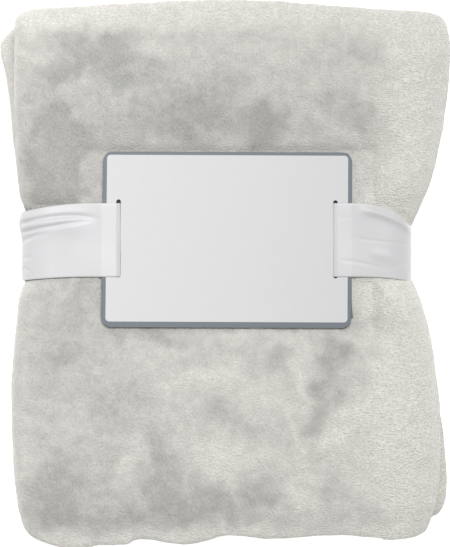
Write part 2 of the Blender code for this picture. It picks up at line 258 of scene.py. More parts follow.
def top_height(x, y):
    """Height of the top face: pressed where the card lies and slides and under the ribbon,
    plumper under the ribbon just past the card, and lower at both ends."""
    past_card = np.abs(x - CARD_X) - CARD_LENGTH / 2 - CARD_GAP
    card_x = np.maximum(0.0, past_card - CARD_TRAVEL)
    card_y = np.maximum(0.0, np.abs(y - WAIST_Y) - CARD_WIDTH / 2 - CARD_GAP)
    off_card = np.hypot(card_x, card_y)
    lower, upper = ribbon_edges(x)
    off_ribbon = np.maximum(0.0, np.maximum(y - upper, lower - y) - 0.3 * MM)
    pressed = np.maximum(np.exp(-off_card / (19 * MM)), np.exp(-off_ribbon / (22 * MM)))
    height = STACK_HEIGHT - 1 * MM - (WAIST_DEPTH - 1 * MM) * pressed
    off_both = np.minimum(off_card, off_ribbon)
    height = height + 0.9 * MM * smooth_step(off_both / (4 * MM))
    to_corner = np.clip((past_card - 1 * MM) / (26 * MM), 0, 1)
    lifted = smooth_step(past_card / (2 * MM)) * (1.1 * MM - 1.6 * MM * to_corner)
    height = height + lifted * (1 - smooth_step(off_ribbon / (3 * MM)))
    height = height - 8 * MM * smooth_step((y - 125 * MM) / (36 * MM))
    height = height - 5 * MM * smooth_step((-y - 135 * MM) / (25 * MM))
    return height + soft_lumps(x, y) * smooth_step(off_both / (20 * MM))


def groove_height(y):
    """Height of the underside: flat on the surface, with a groove where the ribbon passes."""
    off_ribbon = beyond_band(y, WAIST_Y, RIBBON_WIDTH / 2 + 2 * MM)
    return GROOVE_DEPTH * (1 - smooth_step(off_ribbon / (20 * MM)))


def settle(x, y, z):
    """Moves points of the square, even stack to where they lie in the tied throw."""
    even_length = 60 * MM
    toward_end = np.maximum(0.0, (np.abs(y) - even_length) / (HALF_LENGTH - even_length)) ** 2
    layer_phase = z / (5.2 * MM)
    ragged = np.sin(2.3 * layer_phase + x / (23 * MM)) * np.sin(x / (37 * MM) + layer_phase)
    ragged = 1.1 * MM * ragged
    far = far_end(x, z) - HALF_LENGTH + ragged * (1 - is_top(z - 12 * MM))
    near = near_end(x, z) + HALF_LENGTH + 1.3 * ragged * (1 - is_top(z - 12 * MM))
    new_y = y + toward_end * np.where(y > 0, far, near)
    left, right = corner_pull(new_y, z)
    share_x = x / HALF_WIDTH
    new_x = share_x * np.where(x > 0, right_edge(new_y, z) - right, left_edge(new_y, z) - left)
    low = groove_height(new_y)
    new_z = low + z / STACK_HEIGHT * (top_height(new_x, new_y) - low)
    return new_x, new_y, new_z


def graded(length, end_spacing, middle_spacing, end_zone):
    """Distances along a run, closer together near both of its ends. Leaves out the last one."""
    ends = max(2, round(end_zone / end_spacing))
    middle = max(1, round((length - 2 * end_zone) / middle_spacing))
    first = np.linspace(0, end_zone, ends, endpoint=False)
    between = np.linspace(end_zone, length - end_zone, middle, endpoint=False)
    last = np.linspace(length - end_zone, length, ends, endpoint=False)
    return np.concatenate([first, between, last])


def even(length, spacing):
    return np.linspace(0, length, max(2, round(length / spacing)), endpoint=False)


def lines_along(steps, pieces):
    """All the lines across a folded path, from the lines of each of its steps."""
    begins = np.cumsum([0.0] + [length for length, _ in steps[:-1]])
    total = sum(length for length, _ in steps)
    return np.concatenate([begin + piece for begin, piece in zip(begins, pieces)] + [[total]])


HEM_LINES = np.array([0.35, 0.9, 1.8, 6.8, 7.7, 8.3, 8.9, 9.8]) * MM


def with_hems(lines):
    return np.unique(np.round(np.concatenate([lines, HEM_LINES, lines[-1] - HEM_LINES]), 6))


FINE = 1.5 * MM
width_lines = with_hems(lines_along(FOUR_FOLD, [
    graded(FOUR_FOLD[0][0], 2.5 * MM, 16 * MM, 12 * MM),
    even(FOUR_FOLD[1][0], 1.1 * MM),
    even(FOUR_FOLD[2][0], FINE),
    even(FOUR_FOLD[3][0], 0.6 * MM),
    graded(FOUR_FOLD[4][0], 2.5 * MM, 16 * MM, 10 * MM),
    even(FOUR_FOLD[5][0], 0.9 * MM),
    graded(FOUR_FOLD[6][0], 2.5 * MM, 16 * MM, 12 * MM),
]))
length_lines = with_hems(lines_along(Z_FOLD, [
    even(Z_FOLD[0][0], 4 * MM),
    even(Z_FOLD[1][0], 2 * MM),
    even(Z_FOLD[2][0], 7 * MM),
    even(Z_FOLD[3][0], 2.5 * MM),
    even(Z_FOLD[4][0], 7 * MM),
    even(Z_FOLD[5][0], 1.4 * MM),
    even(Z_FOLD[6][0], FINE),
    even(Z_FOLD[7][0], 1.6 * MM),
    even(Z_FOLD[8][0], 7 * MM),
    even(Z_FOLD[9][0], 2.5 * MM),
    even(Z_FOLD[10][0], 7 * MM),
]))


def spline_weights(places, cell):
    """How much each place takes from each point of a row spaced by cell: a cubic B-spline."""
    apart = np.abs(places[:, None] / cell - np.arange(-1, math.ceil(places[-1] / cell) + 2)[None, :])
    near = 2 / 3 - apart**2 + apart**3 / 2
    far = np.clip(2 - apart, 0, None) ** 3 / 6
    return np.where(apart < 1, near, far)


def cloth_noise(rows, columns, cell, seed):
    """Smooth random heights on the flat cloth, about -1 to 1, with lumps about cell across."""
    across = spline_weights(rows, cell)
    along = spline_weights(columns, cell)
    heights = np.random.default_rng(seed).standard_normal((across.shape[1], along.shape[1]))
    return 1.2 * (across @ heights @ along.T)


def closeness(lines, limit):
    """1 where lines are closer together than limit, falling to 0 at twice that."""
    gaps = np.gradient(lines)
    return np.clip(2 - gaps / limit, 0, 1)


def cloth_face(u, v, offset):
    """Carries points of the flat cloth, at an offset from its mid face, through every fold."""
    y, level, turn_y, turn_z = (a[None, :] for a in follow((-HALF_LENGTH, LAYER / 2), 1, FOUR_FOLD, v))
    y = y - turn_y * offset
    level = level - turn_z * offset
    start = (HALF_WIDTH, STRIP_HEIGHT / 2)
    x, z, lean_x, lean_z = (a[:, None] for a in follow(start, -1, Z_FOLD, u))
    from_middle = (level - 2 * LAYER) * 0.985
    x = x + lean_x * from_middle
    z = z + lean_z * from_middle
    bulge = ROUND_FOLD_BULGE / (2 * STRIP_HEIGHT)
    free = FREE_FOLD_BULGE / STRIP_HEIGHT
    low, high = 2 * THIRD_HEIGHT, THIRD_HEIGHT
    x = np.where((x < left_fold_x) & (z < low), left_fold_x + (x - left_fold_x) * bulge, x)
    x = np.where((x < free_fold_x) & (z > low), free_fold_x + (x - free_fold_x) * free, x)
    x = np.where((x > right_fold_x) & (z > high), right_fold_x + (x - right_fold_x) * bulge, x)
    return settle(x, y, z)


def hem_thickness(lines):
    """The cloth's share of its full thickness: rounded at the edge, nipped at the stitch line."""
    edge = np.minimum(lines, lines[-1] - lines)
    rounded = np.sqrt(1 - np.clip(1 - edge / (1.8 * MM), 0, 0.9) ** 2)
    return rounded * (1 - 0.35 * bump(edge, HEM_STITCH_LINE, 0.9 * MM))


def closed_sheet(name, outer, inner, rows=None, columns=None):
    """A thin closed mesh between two grids of points. The inner grid may have fewer lines:
    rows and columns then say which lines of the outer grid they are."""
    long, wide = outer.shape[:2]
    rows = np.arange(long) if rows is None else rows
    columns = np.arange(wide) if columns is None else columns
    top = np.arange(long * wide).reshape(long, wide)
    under = long * wide + np.arange(len(rows) * len(columns)).reshape(len(rows), len(columns))
    faces = np.stack([top[:-1, :-1], top[1:, :-1], top[1:, 1:], top[:-1, 1:]], -1).reshape(-1, 4)
    back = np.stack([under[:-1, :-1], under[:-1, 1:], under[1:, 1:], under[1:, :-1]], -1)
    faces = faces.tolist() + back.reshape(-1, 4).tolist()
    for edge, lower, marks, flip in (
        (top[:, 0], under[:, 0], rows, False),
        (top[:, -1], under[:, -1], rows, True),
        (top[0, :], under[0, :], columns, True),
        (top[-1, :], under[-1, :], columns, False),
    ):
        for k in range(len(marks) - 1):
            upper = edge[marks[k]:marks[k + 1] + 1].tolist()
            rim = [int(lower[k]), int(lower[k + 1])] + upper[::-1]
            faces.append(rim[::-1] if flip else rim)
    points = np.concatenate([outer.reshape(-1, 3), inner.reshape(-1, 3)])
    mesh = bpy.data.meshes.new(name)
    mesh.from_pydata(points.tolist(), [], faces)
    mesh.validate()
    mesh.shade_smooth()
    made = bpy.data.objects.new(name, mesh)
    bpy.context.scene.collection.objects.link(made)
    return made


def thinned(lines, spacing, kept_turns):
    """Indexes of lines that lie at least spacing apart, and every line within a turn."""
    kept = [0]
    for i in range(1, len(lines) - 1):
        if lines[i] - lines[kept[-1]] >= spacing or kept_turns[i]:
            kept.append(i)
    return np.array(kept + [len(lines) - 1])


def in_turns(lines, steps):
    inside = np.zeros(len(lines), bool)
    begin = 0.0
    for length, rise in steps:
        if rise:
            inside |= (lines > begin - 3 * MM) & (lines < begin + length + 3 * MM)
        begin += length
    return inside


half_thick = CLOTH_THICK / 2 * hem_thickness(length_lines)[:, None] * hem_thickness(width_lines)[None, :]
shown = closeness(length_lines, 2.2 * MM)[:, None] * closeness(width_lines, 2.2 * MM)[None, :]
pile = 0.16 * MM * cloth_noise(length_lines, width_lines, 2.2 * MM, 11)
pile += 0.22 * MM * cloth_noise(length_lines, width_lines, 5 * MM, 12)
pile *= shown
pile += 0.12 * MM * cloth_noise(length_lines, width_lines, 14 * MM, 13)
outer_points = np.stack(cloth_face(length_lines, width_lines, half_thick + pile), -1)
outer_points[..., 2] = np.maximum(outer_points[..., 2], ON_FLOOR)
inner_rows = thinned(length_lines, 7 * MM, in_turns(length_lines, Z_FOLD))
inner_columns = thinned(width_lines, 7 * MM, in_turns(width_lines, FOUR_FOLD))
inner_thick = half_thick[np.ix_(inner_rows, inner_columns)]
inner_face = cloth_face(length_lines[inner_rows], width_lines[inner_columns], -inner_thick)
inner_points = np.stack(inner_face, -1)
inner_points[..., 2] = np.maximum(inner_points[..., 2], ON_FLOOR)
throw = closed_sheet("throw", outer_points, inner_points, inner_rows, inner_columns)

# Pale and dark patches of the top face: x, y, half length, half width in mm, turn in degrees,
# and how strongly the pile lies: below 0 it is raised and pale, above 0 laid and darker. Mostly
# they are where hands and packing have brushed the pile; some are painted shade, as in the
# crease at the top left, and some painted light, as along the right rim.
PILE_MARKS_AND_PAINTED_SHADE = [
    (-76, 132, 19, 9, 10, 1.1), (-66, 119, 14, 11, 0, 0.7), (-93, 118, 10, 4, 10, 0.5),
    (-104, 74, 34, 13, 90, 0.9), (-90, 70, 10, 12, 0, 0.5), (-102, 48, 18, 6, 0, 0.7),
    (-24, 92, 40, 15, 0, 0.9), (26, 88, 17, 12, 0, 0.9), (-45, 117, 16, 10, 20, 0.5),
    (-8, 111, 28, 9, 0, 0.5), (68, 100, 15, 9, -30, 0.5), (83, 92, 12, 6, 90, 0.4),
    (80, 131, 14, 8, 0, 0.5), (85, 52, 8, 7, 0, 0.3), (63, -48, 16, 8, 0, 0.8),
    (60, -68, 16, 8, 60, 0.9), (50, -90, 10, 7, 90, 0.7), (33, -52, 8, 6, 90, 0.5),
    (-96, -47, 10, 6, 0, 0.4), (-46, -35, 26, 7, 0, 0.8), (10, -28, 75, 4, 0, 0.6),
    (-62, -76, 20, 15, 0, 0.5), (-38, -114, 20, 13, 90, 0.8), (-20, -136, 40, 13, 0, 0.8),
    (22, -128, 12, 7, 0, 0.6), (-100, -134, 22, 19, 90, 0.8), (-65, -148, 22, 8, 0, 0.6),
    (66, -128, 10, 8, 0, 0.6), (92, -141, 20, 7, 0, 0.3), (-6, -78, 12, 8, -40, 0.5),
    (11, -92, 12, 8, 0, 0.4), (-100, 150, 32, 8, 3, -0.6), (-112, 127, 8, 7, 0, -0.7),
    (-98, 106, 18, 7, 20, -0.5), (-92, 97, 7, 6, 0, -0.4), (-44, 133, 18, 7, 0, -0.4),
    (105, 85, 38, 6, 88, -0.5), (-9, -60, 24, 9, 10, -0.8), (44, -86, 46, 5, 87, -0.7),
    (72, -88, 22, 8, 48, -0.8), (-1, -107, 26, 11, 0, -0.8), (-54, -118, 15, 9, 90, -0.6),
    (90, -10, 20, 10, 0, -1.0), (-96, -88, 20, 8, 0, -0.3), (-112, -8, 10, 7, 0, -0.5),
    (22, -74, 14, 12, 0, -0.5), (46, -132, 16, 10, 0, -0.7), (14, -150, 14, 7, 0, -0.8),
    (100, 50, 14, 18, 0, -0.8), (92, -58, 14, 26, 0, -0.4), (-90, 10, 30, 12, 0, -0.3),
    (-106, 20, 150, 42, 90, 0.55), (104, -104, 70, 44, 90, -0.85), (104, 80, 70, 36, 90, -0.35),
    (92, 48, 20, 10, 0, -0.5), (-112, 46, 14, 8, 90, -0.6), (20, 82, 8, 7, 0, 0.4),
    (-30, 136, 60, 13, 0, 0.25), (-30, -52, 45, 18, 0, 0.15), (-66, -128, 22, 14, 0, 0.25),
    (80, -46, 8, 14, 90, 0.3), (100, -12, 14, 12, 0, -0.5), (104, 48, 12, 12, 0, -0.6),
    (4, -50, 26, 9, 0, 0.3), (80, -56, 10, 9, 0, 0.45), (-72, -115, 16, 24, 0, 0.2),
]
RAISED_SHARE = 0.72
EVEN_LAY = 0.54
TOP_FACE_FROM = 35
TOP_FACE_FULL = 47


def pile_lay_with_painted_light(points):
    """How flat the pile lies at each point, 0 where it stands up to 1 where it lies flat, for the
    fleece's shader, with painted light and shade in it. A raised mark shows less than one where
    the pile lies flat. Painted rim light makes it paler near the edges of the stack, most along
    the right side and at the +Y end."""
    x, y, z = points[..., 0] / MM, points[..., 1] / MM, points[..., 2] / MM
    warp_x = 3.5 * np.sin(y / 5.3 + 1.7 * np.sin(x / 7.1)) + 1.5 * np.sin(y / 2.3)
    warp_y = 3.5 * np.sin(x / 6.1 + 1.9 * np.sin(y / 6.7)) + 1.5 * np.sin(x / 2.1)
    lay_and_painted_shade = np.zeros_like(x)
    for mark_x, mark_y, half_long, half_wide, turn, strength in PILE_MARKS_AND_PAINTED_SHADE:
        angle = math.radians(turn)
        dx, dy = x + warp_x - mark_x, y + warp_y - mark_y
        along = (dx * math.cos(angle) + dy * math.sin(angle)) / half_long
        across = (dy * math.cos(angle) - dx * math.sin(angle)) / half_wide
        share = RAISED_SHARE if strength < 0 else 1.0
        lay_and_painted_shade += share * strength * np.exp(-((along**2 + across**2) ** 1.5))
    # Painted rim light: paler pile near the edges of the stack, most on the right side and at the +Y
    # end.
    painted_rim_light = 0.8 * smooth_step((x - 74) / 42) + 0.35 * smooth_step((-x - 108) / 14)
    painted_rim_light += 0.7 * smooth_step((y - 138) / 16) + 0.45 * smooth_step((-y - 145) / 10)
    on_top = smooth_step((z - TOP_FACE_FROM) / (TOP_FACE_FULL - TOP_FACE_FROM))
    elsewhere = np.sin(x / 19 + 2 * np.sin(y / 23)) * np.sin(y / 27 + z / 9)
    lie = lay_and_painted_shade * on_top + 0.5 * elsewhere * (1 - on_top) - painted_rim_light
    return np.clip(EVEN_LAY + 0.50 * lie, 0, 1)


# The attribute holds the lay of the pile together with painted rim light and painted shade.
pile_lay_and_light = throw.data.attributes.new("pile_lay_and_light", "FLOAT", "POINT")
every_point = np.concatenate([outer_points.reshape(-1, 3), inner_points.reshape(-1, 3)])
pile_lay_and_light.data.foreach_set("value", pile_lay_with_painted_light(every_point).astype(np.float32))


def linear(code):
    """A colour as Blender wants it, from its sRGB hex code."""
    channels = [int(code[i:i + 2], 16) / 255 for i in (1, 3, 5)]
    return [c / 12.92 if c <= 0.04045 else ((c + 0.055) / 1.055) ** 2.4 for c in channels] + [1.0]


def add_node(tree, kind, inputs=(), **settings):
    """Adds a node with its settings. Its inputs are values, or outputs to link."""
    made = tree.nodes.new("ShaderNode" + kind)
    for name, value in settings.items():
        setattr(made, name, value)
    for socket, value in dict(inputs).items():
        if isinstance(value, bpy.types.NodeSocket):
            tree.links.new(value, made.inputs[socket])
        else:
            made.inputs[socket].default_value = value
    return made


def new_material(name):
    """A material with its tree, its surface shader and a node for the piece's own coordinates."""
    made = bpy.data.materials.new(name)
    made.use_nodes = True
    tree = made.node_tree
    return made, tree, tree.nodes["Principled BSDF"], add_node(tree, "TexCoord").outputs["Object"]


# Flannel fleece, brushed and sheared: matt, with pale rims where the pile is seen edge on,
# small soft tufts where it stands up, and darker smooth streaks where it is laid flat. Its
# colour also carries painted rim light and painted shade from the pile attribute.
fleece, tree, surface, place = new_material("ivory_flannel_fleece")
surface.inputs["Roughness"].default_value = 0.95
surface.inputs["Specular IOR Level"].default_value = 0.15
surface.inputs["Sheen Weight"].default_value = 0.9
surface.inputs["Sheen Roughness"].default_value = 0.45
surface.inputs["Sheen Tint"].default_value = linear("#fffcf6")
lay_and_light = add_node(tree, "Attribute", attribute_name="pile_lay_and_light").outputs["Fac"]
TUFT = 0.95 * MM
COMBED_STREAK = 0.75 * MM
PATCH = 8 * MM
curled = add_node(tree, "Mapping", {"Vector": place, "Scale": (0.6, 1.2, 1.0)})
tufts = add_node(tree, "TexNoise", {"Vector": curled.outputs[0], "Scale": 1 / TUFT,
                                    "Detail": 1.0, "Roughness": 0.5})
combed = add_node(tree, "Mapping", {"Vector": place, "Scale": (1.0, 0.45, 1.0)})
streaks = add_node(tree, "TexNoise", {"Vector": combed.outputs[0], "Scale": 1 / COMBED_STREAK,
                                      "Detail": 0.5})
soft_streaks = add_node(tree, "MapRange", {"Value": streaks.outputs["Fac"], "From Min": 0.0,
                                           "From Max": 1.0, "To Min": 0.22, "To Max": 0.78})
patches = add_node(tree, "TexNoise", {"Vector": place, "Scale": 1 / PATCH,
                                      "Detail": 3.0, "Roughness": 0.7})
drift = add_node(tree, "MapRange", {"Value": patches.outputs["Fac"], "From Min": 0.3,
                                    "From Max": 0.7, "To Min": -0.16, "To Max": 0.16})
lay_and_light_here = add_node(tree, "Math", {0: lay_and_light, 1: drift.outputs[0]}, operation="ADD", use_clamp=True)
# The pale tone shows raised pile and painted rim light, the dark tone laid pile and painted shade.
tone = add_node(tree, "MixRGB", {"Fac": lay_and_light_here.outputs[0], "Color1": linear("#e8e6df"),
                                 "Color2": linear("#aeada9")})
relief = add_node(tree, "MixRGB", {"Fac": lay_and_light_here.outputs[0], "Color1": tufts.outputs["Fac"],
                                   "Color2": soft_streaks.outputs[0]})
# Partly the fibres' own tone, partly painted shade: the colour is darker where the tufts and streaks are
# low.
tuft_tone_and_hollow_shade = add_node(tree, "MapRange", {"Value": relief.outputs[0], "From Min": 0.25,
                                    "From Max": 0.75, "To Min": 0.83, "To Max": 1.15})
tinted = add_node(tree, "VectorMath", {0: tone.outputs[0], "Scale": tuft_tone_and_hollow_shade.outputs[0]},
                  operation="SCALE")
tree.links.new(tinted.outputs[0], surface.inputs["Base Color"])
pile_bump = add_node(tree, "Bump", {"Height": relief.outputs[0], "Strength": 1.0,
                                    "Distance": 1.2 * MM})
tree.links.new(pile_bump.outputs[0], surface.inputs["Normal"])

throw.data.materials.append(fleece)
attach(throw, "throw")
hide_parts("throw_base_third", "throw_middle_third", "throw_top_third",
            "throw_left_fold", "throw_right_fold")

# --------------------------------------------------------------------------- the ribbon
# A single-face satin ribbon, 43 mm wide, drawn tight round the throw. Each end of its front
# run goes over the card's margin and down through a slot, so it passes behind the card.

RIBBON_THICK = 0.4 * MM
SLOT_REACH = 64.2 * MM
SLOT_LEFT = CARD_X - SLOT_REACH
SLOT_RIGHT = CARD_X + SLOT_REACH
CARD_LOW, CARD_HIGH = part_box("message_card")
OVER_CARD = CARD_HIGH[2] + 0.32 * MM
BEHIND_LOW, BEHIND_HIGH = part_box("ribbon_behind_card")
BEHIND_CARD = (BEHIND_LOW[2] + BEHIND_HIGH[2]) / 2
SIDE_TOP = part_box("ribbon_left_side")[1][2] - RIBBON_THICK / 2
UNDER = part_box("ribbon_underside")[0][2] + RIBBON_THICK / 2
RIBBON_LEFT = -121.3 * MM
RIBBON_RIGHT = 111.8 * MM
BELOW_Y = 17 * MM


def quarter(centre, radius_x, radius_z, start, end, count):
    angles = np.radians(np.linspace(start, end, count))
    return [(centre[0] + radius_x * math.cos(a), centre[1] + radius_z * math.sin(a)) for a in angles]


def straight(start, end, spacing):
    count = max(2, round(math.dist(start, end) / spacing) + 1)
    return [(start[0] + (end[0] - start[0]) * i / (count - 1),
             start[1] + (end[1] - start[1]) * i / (count - 1)) for i in range(count)]


SAME_POINT = 0.02 * MM


def joined(*stretches):
    """One path from stretches that follow each other, without the doubled points."""
    path = []
    for stretch in stretches:
        for point in stretch:
            if not path or math.dist(point, path[-1]) > SAME_POINT:
                path.append(point)
    return np.array(path)


def path_normals(path):
    ahead = np.gradient(path, axis=0)
    ahead /= np.linalg.norm(ahead, axis=1)[:, None]
    return np.stack([-ahead[:, 1], ahead[:, 0]], -1)


def ribbon_piece(name, path, lower, upper, relief=None, across=49):
    """A band that follows a path in X and Z. lower and upper are its edges in Y along the path,
    and relief gives how far it stands out of the path at each x and y."""
    share = np.linspace(0, 1, across)[None, :]
    y = lower[:, None] + (upper - lower)[:, None] * share
    normal = path_normals(path)
    lift = np.zeros_like(y) if relief is None else relief(path[:, :1] + 0 * y, y)
    rounded = np.sqrt(np.clip(1 - (2 * share - 1) ** 12, 0.05, 1))
    faces = []
    for side in (1, -1):
        out = lift + side * RIBBON_THICK / 2 * rounded
        faces.append(np.stack([path[:, :1] + normal[:, :1] * out, y,
                               path[:, 1:] + normal[:, 1:] * out], -1))
    return closed_sheet(name, faces[0], faces[1])


def crease(x, y, start, end, bow, width, depth, fade_start, fade_end):
    """A soft valley from one place to another, in mm, that fades in and out at its ends. It is
    a ridge where depth is below 0."""
    share = (x / MM - start[0]) / (end[0] - start[0])
    line = start[1] + (end[1] - start[1]) * share + bow * 4 * share * (1 - share)
    fade = smooth_step(share / fade_start) * smooth_step((1 - share) / fade_end)
    return -depth * MM * bump(y / MM, line, width) * fade


def left_creases(x, y):
    """The bulge and the gathers that spread from the left edge, where the band is pulled in."""
    lift = 1.9 * MM * bump(y / MM, 30, 7) * smooth_step((-x / MM - 74) / 20)
    lift += crease(x, y, (-121, 29.5), (-72, 32.4), 3.0, 1.25, 2.3, 0.05, 0.45)
    lift += crease(x, y, (-121, 24.5), (-73, 32.0), 0.6, 1.2, 1.9, 0.05, 0.6)
    lift += crease(x, y, (-121, 19.5), (-101, 24.6), 0.8, 1.4, 1.2, 0.05, 0.8)
    lift += crease(x, y, (-121, 9), (-112, 10), 0.0, 1.2, 0.5, 0.05, 0.8)
    lift += crease(x, y, (-121, 3.5), (-114, 0.5), 0.0, 1.0, 0.9, 0.05, 0.8)
    return lift + 0.12 * MM * np.sin(x / (6 * MM) + 2) * np.sin(y / (5 * MM))


def right_creases(x, y):
    """The valley along the slanting upper edge, and the faint lines of the right run."""
    upper = ribbon_edges(x)[1]
    roll = bump(y, upper - 4.4 * MM, 2.5 * MM) * smooth_step((x / MM - 78) / 10)
    roll *= smooth_step((113 - x / MM) / 8)
    lift = 0.25 * MM * bump(y, upper, 3 * MM) * smooth_step((x / MM - 80) / 10) - 1.9 * MM * roll
    lift += crease(x, y, (66, 33), (76, 33), 0.0, 0.8, -0.12, 0.2, 0.2)
    lift += crease(x, y, (74, 21.5), (114, 17.5), -0.6, 0.6, -0.25, 0.2, 0.05)
    lift += crease(x, y, (66, 7.5), (97, 1.5), 1.6, 0.8, -0.22, 0.2, 0.3)
    lift += crease(x, y, (94, 2), (112, 6.5), 0.8, 0.8, -0.2, 0.2, 0.2)
    lift += crease(x, y, (84, 12), (104, 8), 0.6, 3.2, 0.8, 0.4, 0.4)
    return lift + 0.1 * MM * np.sin(x / (7 * MM)) * np.sin(y / (6 * MM) + 1)


# How wide and how high the band's bends are at the throw's edges, and at the card's slots.
LEFT_BEND = (19 * MM, 13 * MM)
RIGHT_BEND = (16.4 * MM, 17.7 * MM)
LEFT_UNDER_BEND = (18 * MM, 17.7 * MM)
RIGHT_UNDER_BEND = (18.5 * MM, 17.7 * MM)
SLOT_BEND_X = 2.2 * MM
SLOT_BEND_Z = 0.8 * MM
CORNER_LEFT = RIBBON_LEFT + LEFT_BEND[0]
CORNER_RIGHT = RIBBON_RIGHT - RIGHT_BEND[0]
IN_SLOT = 1.17 * MM
PAST_MARGIN = 0.6 * MM


def front_run(slot_x, margin_x, corner_x, side):
    """From behind the card up through a slot, over the card's margin and on to the corner."""
    bend = (slot_x + side * SLOT_BEND_X, OVER_CARD - SLOT_BEND_Z)
    start, end = (90, 180) if side > 0 else (90, 0)
    turn = quarter(bend, SLOT_BEND_X, SLOT_BEND_Z, start, end, 9)[::-1]
    return joined(straight((slot_x, BEHIND_CARD), (slot_x, OVER_CARD - SLOT_BEND_Z), 0.4 * MM),
                  turn, straight(turn[-1], (margin_x, OVER_CARD), 0.8 * MM),
                  straight((margin_x, OVER_CARD), (corner_x, SIDE_TOP), 0.8 * MM))


left_bend_z = SIDE_TOP - LEFT_BEND[1]
left_under_z = UNDER + LEFT_UNDER_BEND[1]
left_path = joined(
    front_run(SLOT_LEFT + IN_SLOT, CARD_X - CARD_LENGTH / 2 - PAST_MARGIN, CORNER_LEFT, -1),
    quarter((CORNER_LEFT, left_bend_z), *LEFT_BEND, 90, 180, 24),
    straight((RIBBON_LEFT, left_bend_z), (RIBBON_LEFT, left_under_z), 1.5 * MM),
    quarter((RIBBON_LEFT + LEFT_UNDER_BEND[0], left_under_z), *LEFT_UNDER_BEND, 180, 270, 20))[::-1]
right_bend_z = SIDE_TOP - RIGHT_BEND[1]
right_under_z = UNDER + RIGHT_UNDER_BEND[1]
right_path = joined(
    front_run(SLOT_RIGHT - IN_SLOT, CARD_X + CARD_LENGTH / 2 + PAST_MARGIN, CORNER_RIGHT, 1),
    quarter((CORNER_RIGHT, right_bend_z), *RIGHT_BEND, 90, 0, 24),
    straight((RIBBON_RIGHT, right_bend_z), (RIBBON_RIGHT, right_under_z), 1.5 * MM),
    quarter((RIBBON_RIGHT - RIGHT_UNDER_BEND[0], right_under_z), *RIGHT_UNDER_BEND, 0, -90, 20))
under_path = np.array(straight(tuple(left_path[0]), tuple(right_path[-1]), 4 * MM))


def band_edges(path):
    """The band's edges: gathered at the top corners, and full width down the sides and below."""
    lower, upper = ribbon_edges(path[:, 0])
    under = smooth_step((SIDE_TOP - 6 * MM - path[:, 1]) / (SIDE_TOP - 10 * MM))
    lower = lower + (BELOW_Y - RIBBON_WIDTH / 2 - lower) * under
    upper = upper + (BELOW_Y + RIBBON_WIDTH / 2 - upper) * under
    return lower, upper


# Polyester satin: white, smooth and softly shiny, with a slanting twill. The real twill is
# several times finer, and is drawn this coarse so that it shows. Its colour is painted a shade
# darker over the slots and over the fleece than over the white card: painted shade for the
# light that comes back through the thin satin from what lies behind it.
satin, tree, surface, place = new_material("white_polyester_satin")
surface.inputs["Roughness"].default_value = 0.42
surface.inputs["Anisotropic"].default_value = 0.4
surface.inputs["Sheen Weight"].default_value = 0.15
surface.inputs["Specular IOR Level"].default_value = 0.4
TWILL = 1.6 * MM
slanted = add_node(tree, "Mapping", {"Vector": place, "Rotation": (0, 0, math.radians(28))})
twill = add_node(tree, "TexWave", {"Vector": slanted.outputs[0], "Scale": 0.314 / TWILL,
                                   "Distortion": 1.2, "Detail": 1.0, "Detail Scale": 2.0})
yarn_tone = add_node(tree, "MixRGB", {"Fac": twill.outputs["Fac"], "Color1": linear("#d8d8da"),
                                      "Color2": linear("#dbdbdc")})
# Painted shade: the satin is darker where a slot and where the fleece lie behind it.
see_through_shade = add_node(tree, "Attribute", attribute_name="painted_see_through_shade").outputs["Fac"]
satin_tone = add_node(tree, "MixRGB", {"Fac": see_through_shade, "Color1": yarn_tone.outputs[0],
                                       "Color2": linear("#c8c8ca")})
tree.links.new(satin_tone.outputs[0], surface.inputs["Base Color"])
weave = add_node(tree, "Bump", {"Height": twill.outputs["Fac"], "Strength": 0.15,
                                "Distance": 0.08 * MM})
tree.links.new(weave.outputs[0], surface.inputs["Normal"])

front_left = ribbon_piece("ribbon_left", left_path, *band_edges(left_path), left_creases, 61)
front_right = ribbon_piece("ribbon_right", right_path[::-1], *band_edges(right_path[::-1]),
                           right_creases, 61)
underside = ribbon_piece("ribbon_below_throw", under_path, *band_edges(under_path), across=31)
SLOT_ZONE = 1.4 * MM
behind_path = np.array(straight((SLOT_LEFT + SLOT_ZONE, BEHIND_CARD),
                                (SLOT_RIGHT - SLOT_ZONE, BEHIND_CARD), 4 * MM))
behind_middle = np.full(len(behind_path), WAIST_Y)
behind = ribbon_piece("ribbon_under_card", behind_path, behind_middle - RIBBON_WIDTH / 2,
                      behind_middle + RIBBON_WIDTH / 2, across=9)
for piece in (front_left, front_right, underside, behind):
    piece.data.materials.append(satin)


FLEECE_SHADE = 0.25


def paint_see_through_shade(piece, slot_x, slot_shade, margin_x):
    """Paints shade into the thin satin where less light comes through it from below: most over the slot,
    some over the fleece, none over the white card.
    """
    x = np.array([vertex.co.x for vertex in piece.data.vertices])
    past_margin = np.where(np.abs(x) > abs(margin_x), FLEECE_SHADE, 0.0)
    dark = np.where(np.abs(x - slot_x) < SLOT_ZONE, slot_shade, past_margin)
    painted_see_through_shade = piece.data.attributes.new("painted_see_through_shade", "FLOAT", "POINT")
    painted_see_through_shade.data.foreach_set("value", dark.astype(np.float32))


paint_see_through_shade(front_left, SLOT_LEFT, 1.0, CARD_LOW[0])
paint_see_through_shade(front_right, SLOT_RIGHT, 0.3, CARD_HIGH[0])


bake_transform(front_left)
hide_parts("ribbon_front_left", "ribbon_left_side")
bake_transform(front_right)
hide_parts("ribbon_front_right", "ribbon_right_side")
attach(underside, "band")
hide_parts("ribbon_underside")
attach(behind, "band")
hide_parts("ribbon_behind_card")

# ------------------------------------------------------------------ the ribbon's closing
# The band's two satin ends lap by 20 mm on the underside, where the seam is out of sight. They
# are sewn through with a zigzag of white spun polyester thread.

